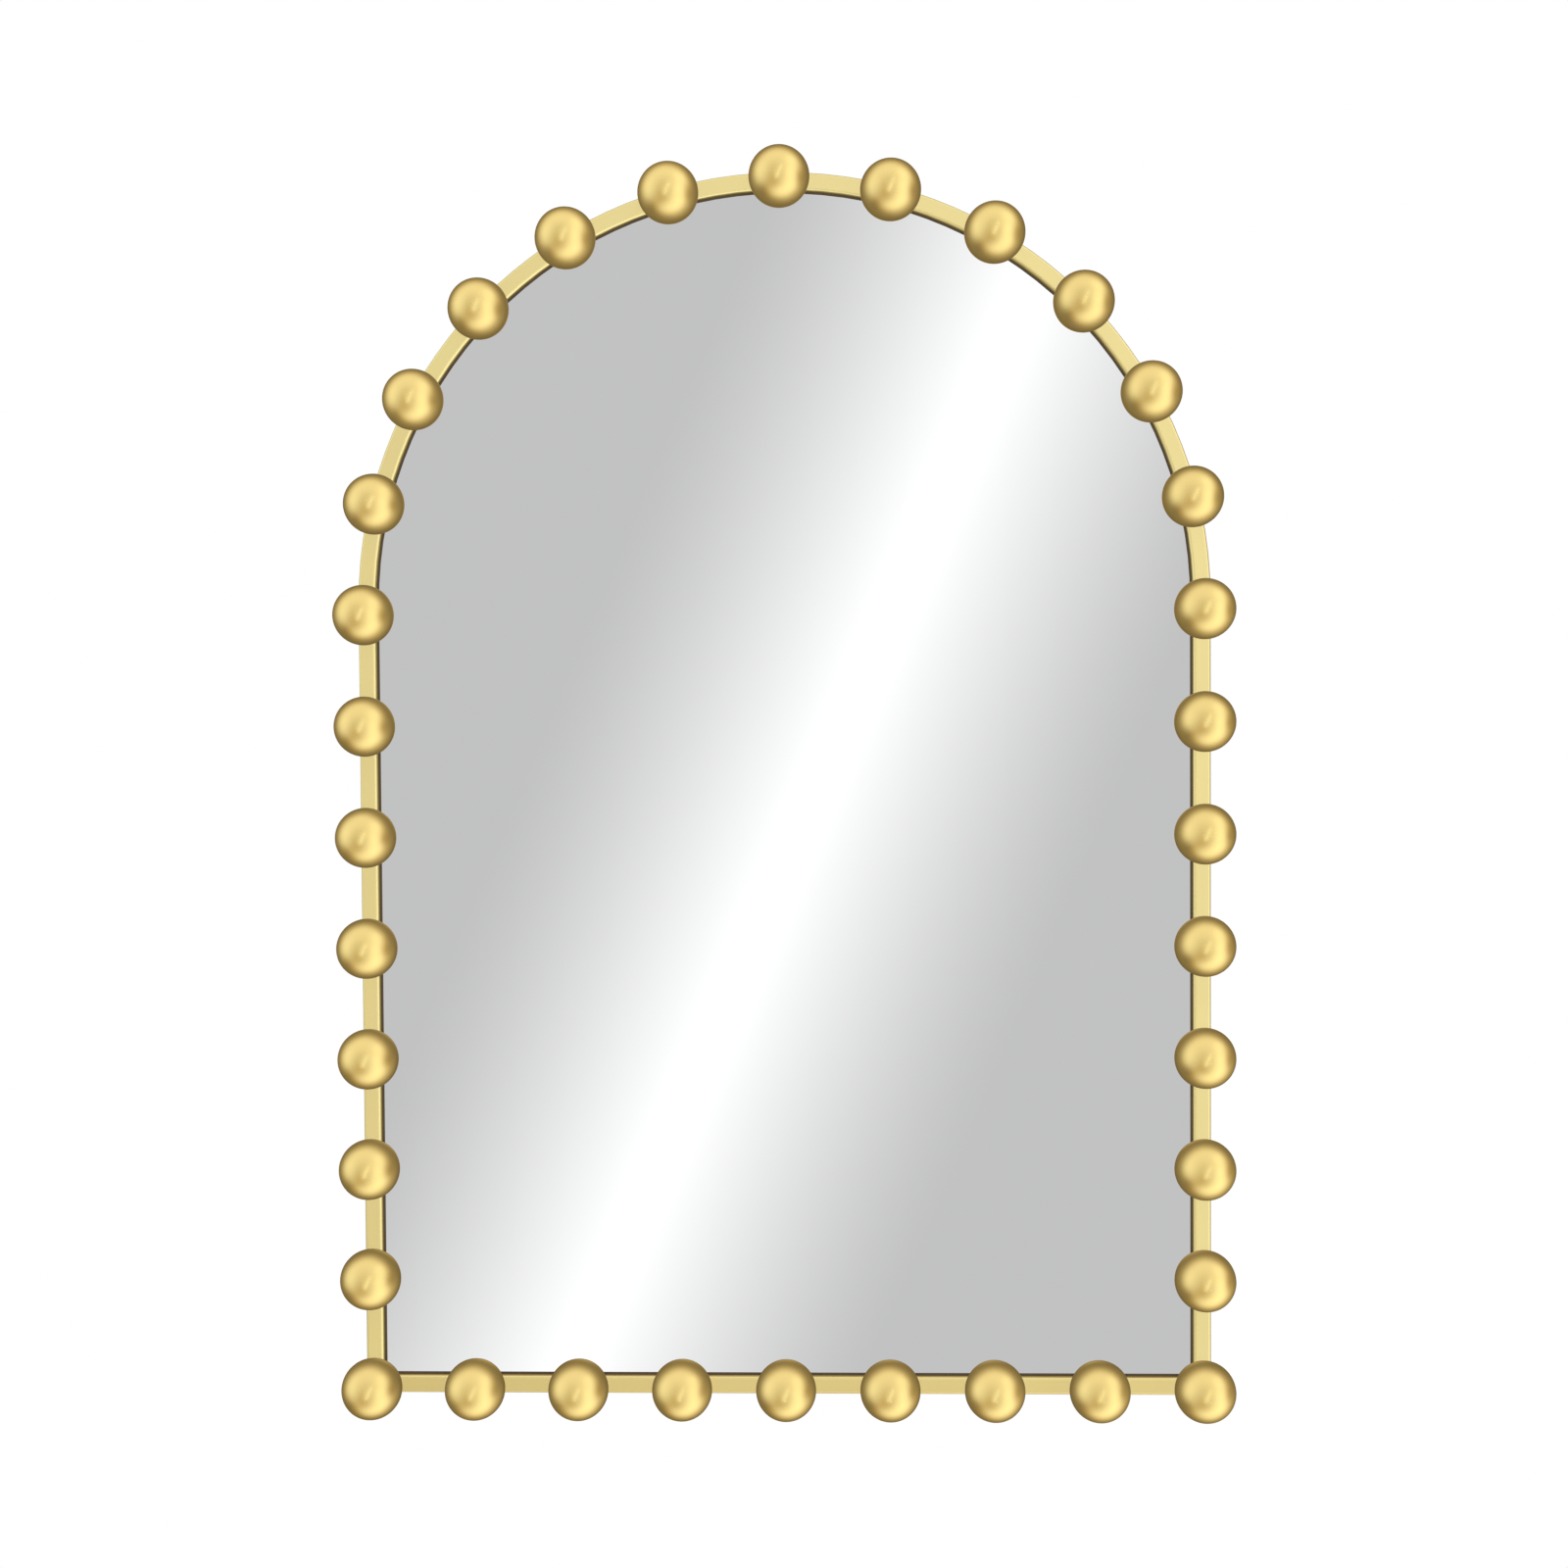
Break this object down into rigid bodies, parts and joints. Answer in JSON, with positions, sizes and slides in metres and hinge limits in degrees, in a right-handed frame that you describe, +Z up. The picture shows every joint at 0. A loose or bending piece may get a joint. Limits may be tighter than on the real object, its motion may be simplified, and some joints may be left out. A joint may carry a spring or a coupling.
{
  "type": "arched mirror",
  "caption": "Wall mirror with a half-round top, set in a slim satin gold metal frame that carries evenly spaced hollow balls, and hung by two swinging D-rings on its back.",
  "frame": {"origin": "on the wall plane, at the centre of the arch, midway between the two hook points", "axes": "+Z up, -Y out of the wall towards the viewer, +X to the viewer's right"},
  "size_m": [0.61, 0.0559, 0.8635],
  "materials": {
    "gold_metal": "satin gold",
    "steel_hardware": "zinc plated",
    "dark_rubber": "matte",
    "mirror": "silvered",
    "board": "raw fibreboard",
    "tape": "foam"
  },
  "bodies": {
    "mirror": {"frame_hoop": "gold_metal", "bottom_rail": "gold_metal", "ball_top": "gold_metal", "ball_left_01": "gold_metal", "ball_left_02": "gold_metal", "ball_left_03": "gold_metal", "ball_left_04": "gold_metal", "ball_left_05": "gold_metal", "ball_left_06": "gold_metal", "ball_left_07": "gold_metal", "ball_left_08": "gold_metal", "ball_left_09": "gold_metal", "ball_left_10": "gold_metal", "ball_left_11": "gold_metal", "ball_left_12": "gold_metal", "ball_right_01": "gold_metal", "ball_right_02": "gold_metal", "ball_right_03": "gold_metal", "ball_right_04": "gold_metal", "ball_right_05": "gold_metal", "ball_right_06": "gold_metal", "ball_right_07": "gold_metal", "ball_right_08": "gold_metal", "ball_right_09": "gold_metal", "ball_right_10": "gold_metal", "ball_right_11": "gold_metal", "ball_right_12": "gold_metal", "ball_corner_left": "gold_metal", "ball_corner_right": "gold_metal", "ball_bottom_1": "gold_metal", "ball_bottom_2": "gold_metal", "ball_bottom_3": "gold_metal", "ball_bottom_4": "gold_metal", "ball_bottom_5": "gold_metal", "ball_bottom_6": "gold_metal", "ball_bottom_7": "gold_metal", "ball_seats": "gold_metal", "ball_screws": "steel_hardware", "retaining_tabs": "steel_hardware", "tab_screws": "steel_hardware", "hanger_strap_left": "steel_hardware", "hanger_strap_right": "steel_hardware", "hanger_screws": "steel_hardware", "glazing_gasket": "dark_rubber", "wall_bumpers": "dark_rubber", "mirror_glass": "mirror", "backing_board": "board", "mirror_tape": "tape"},
    "left_ring": {"d_ring_left": "steel_hardware"},
    "right_ring": {"d_ring_right": "steel_hardware"}
  },
  "joints": [
    {"name": "left_ring_swing", "type": "hinge", "parent": "mirror", "child": "left_ring", "pos_m": [-0.2032, -0.0036, -0.01848], "axis": [-1, 0, 0], "range_deg": [0, 175]},
    {"name": "right_ring_swing", "type": "hinge", "parent": "mirror", "child": "right_ring", "pos_m": [0.2032, -0.0036, -0.01848], "axis": [-1, 0, 0], "range_deg": [0, 175]}
  ]
}
